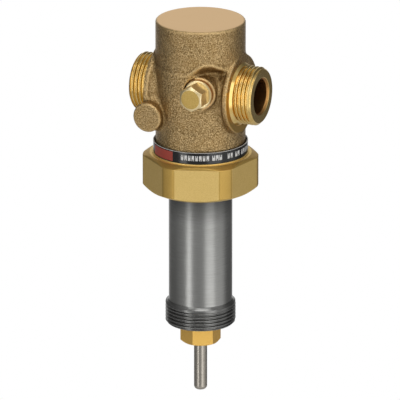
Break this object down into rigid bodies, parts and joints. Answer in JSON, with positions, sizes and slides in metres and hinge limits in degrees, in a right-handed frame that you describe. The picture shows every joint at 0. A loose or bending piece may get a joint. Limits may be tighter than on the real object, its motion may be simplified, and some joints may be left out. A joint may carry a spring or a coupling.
{
  "type": "control valve",
  "caption": "Two-way spring-open control valve of cast bronze, with male threaded ports, a long steel neck and a stem that an actuator on the lower collar pushes in to close it.",
  "frame": {"origin": "where the pipe's axis crosses the stem's axis", "axes": "+X along the pipe's axis towards the inlet port, +Z along the stem's axis towards the closed top of the body, with the stem pointing down; the test plug faces -Y"},
  "size_m": [0.075, 0.0694, 0.22],
  "materials": {
    "cast_bronze": "cast, dull",
    "nut_brass": "satin",
    "turned_brass": "polished",
    "bronze_liner": "turned",
    "neck_steel": "turned, satin",
    "stainless": "ground, bright",
    "spring_steel": "drawn wire",
    "black_label": "gloss",
    "packing": "matte",
    "graphite": "matte",
    "fibre": "matte",
    "seal_rubber": "matte"
  },
  "bodies": {
    "valve": {"valve_body": "cast_bronze", "seat_ring": "stainless", "balance_bush": "bronze_liner", "test_plug": "turned_brass", "test_plug_washer": "fibre", "label_band": "black_label", "union_nut": "nut_brass", "body_gasket": "graphite", "neck_tube": "neck_steel", "guide_plate": "bronze_liner", "gland_nut": "turned_brass", "packing_washer": "stainless", "packing_ring_upper": "packing", "packing_ring_middle": "packing", "packing_ring_lower": "packing", "wiper_ring": "seal_rubber"},
    "stem_assembly": {"stem": "stainless", "valve_plug": "stainless", "plug_seal": "packing", "piston_ring": "packing", "plug_pin": "stainless", "spring_plate": "neck_steel", "stem_clip": "spring_steel", "return_spring": "spring_steel"}
  },
  "joints": [
    {"name": "stem_slide", "type": "slide", "parent": "valve", "child": "stem_assembly", "axis": [0, 0, 1], "range_m": [0, 0.006], "stiffness_N_per_m": 8000, "springref_m": -0.01, "deforming": ["return_spring"]}
  ]
}
